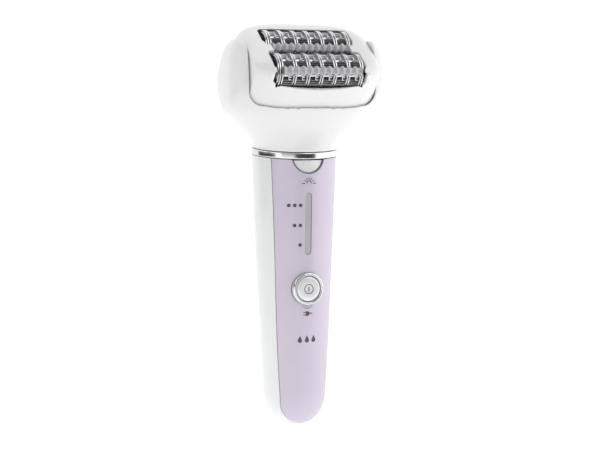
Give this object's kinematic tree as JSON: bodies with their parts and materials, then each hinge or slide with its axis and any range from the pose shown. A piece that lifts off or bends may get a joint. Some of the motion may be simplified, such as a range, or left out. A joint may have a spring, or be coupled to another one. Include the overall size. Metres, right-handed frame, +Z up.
{
  "type": "epilator",
  "caption": "Cordless hand epilator: tapered two-tone handle with a push button and light bar, wide forked neck, and a tilting head with two rows of geared tweezer rotors.",
  "frame": {"origin": "centre of the flat on the handle's lower end, on the handle's axis", "axes": "+Z up the handle to the head, -Y the front with the button, +X to the right seen from the front"},
  "size_m": [0.0704, 0.0468, 0.1723],
  "materials": {
    "shell": "greenish-white glossy moulded plastic",
    "panel": "satin pale lilac pearl plastic",
    "lens": "smoky translucent grey light guide",
    "lamp_lens": "clear frosted lamp window over silver",
    "chrome": "bright chrome plate",
    "rubber": "dark grey rubber",
    "button": "white glossy plastic",
    "board": "green solder mask",
    "cell": "shrink-wrapped cell",
    "nylon": "natural nylon",
    "white": "white glossy plastic",
    "guard": "satin silver-grey plastic",
    "steel": "plain steel",
    "rotor": "bright plated discs",
    "blade": "stamped stainless blades",
    "brass": "turned brass",
    "lamp_chip": "white LED package"
  },
  "bodies": {
    "handle": {"battery_cell": "cell", "battery_cradle": "nylon", "battery_tab_lower": "steel", "battery_tab_upper": "steel", "board_screw_lower": "steel", "board_screw_upper": "steel", "button_bezel": "chrome", "button_boot": "rubber", "charge_led": "lamp_chip", "charge_lens": "lens", "charging_socket": "rubber", "circuit_board": "board", "front_panel": "panel", "head_lead": "rubber", "lamp_led": "lamp_chip", "lamp_lens": "lamp_lens", "light_bar": "lens", "neck_ring": "chrome", "neck_seal": "rubber", "neck_tube": "nylon", "pivot_pin_left": "steel", "pivot_pin_right": "steel", "rear_shell": "shell", "socket_pin_left": "brass", "socket_pin_right": "brass", "speed_led_1": "lamp_chip", "speed_led_2": "lamp_chip", "speed_led_3": "lamp_chip", "tact_switch": "rubber", "yoke": "white"},
    "button": {"power_button": "button"},
    "head": {"head_cap": "white", "head_base": "white", "guard_bar_rear": "guard", "guard_bar_front": "guard", "bearing_plate_left": "steel", "bearing_plate_right": "steel", "rear_bush_left": "brass", "rear_bush_right": "brass", "front_bush_left": "brass", "front_bush_right": "brass", "motor": "steel", "main_gear_pin": "steel", "reduction_pin": "steel", "return_spring": "steel"},
    "rear_rotor_body": {"rear_rotor": "rotor", "rear_pinion": "brass"},
    "front_rotor_body": {"front_rotor": "rotor", "front_pinion": "brass"},
    "rear_tweezer_body": {"rear_tweezers": "blade"},
    "front_tweezer_body": {"front_tweezers": "blade"},
    "main_gear_body": {"main_gear": "nylon"},
    "reduction_body": {"reduction_gear": "nylon"},
    "motor_rotor_body": {"motor_shaft": "brass"}
  },
  "joints": [
    {"name": "button_press", "type": "slide", "parent": "handle", "child": "button", "axis": [0, 1, 0], "range_m": [0, 0.0008], "stiffness_N_per_m": 600},
    {"name": "head_tilt", "type": "hinge", "parent": "handle", "child": "head", "pos_m": [0, -0.0099, 0.1494], "axis": [1, 0, 0], "range_deg": [-15, 15], "stiffness_Nm_per_rad": 0.25},
    {"name": "rear_rotor_spin", "type": "hinge", "parent": "head", "child": "rear_rotor_body", "pos_m": [0, -0.00932, 0.16196], "axis": [1, 0, 0], "continuous": true},
    {"name": "front_rotor_spin", "type": "hinge", "parent": "head", "child": "front_rotor_body", "pos_m": [0, -0.02212, 0.15236], "axis": [1, 0, 0], "continuous": true},
    {"name": "main_gear_spin", "type": "hinge", "parent": "head", "child": "main_gear_body", "pos_m": [0, -0.01137, 0.15136], "axis": [1, 0, 0], "continuous": true},
    {"name": "reduction_spin", "type": "hinge", "parent": "head", "child": "reduction_body", "pos_m": [0, -0.00513, 0.14304], "axis": [1, 0, 0], "continuous": true},
    {"name": "motor_spin", "type": "hinge", "parent": "head", "child": "motor_rotor_body", "pos_m": [0, -0.00255, 0.14778], "axis": [1, 0, 0], "continuous": true},
    {"name": "rear_tweezer_slide", "type": "slide", "parent": "rear_rotor_body", "child": "rear_tweezer_body", "axis": [1, 0, 0], "range_m": [-0.0002, 0.0002], "stiffness_N_per_m": 400},
    {"name": "front_tweezer_slide", "type": "slide", "parent": "front_rotor_body", "child": "front_tweezer_body", "axis": [1, 0, 0], "range_m": [-0.0002, 0.0002], "stiffness_N_per_m": 400}
  ],
  "couplings": [
    {"joint": "front_rotor_spin", "follows": "rear_rotor_spin", "ratio": 1},
    {"joint": "main_gear_spin", "follows": "rear_rotor_spin", "ratio": -0.28571},
    {"joint": "reduction_spin", "follows": "rear_rotor_spin", "ratio": 1.2},
    {"joint": "motor_spin", "follows": "rear_rotor_spin", "ratio": -3.12}
  ]
}
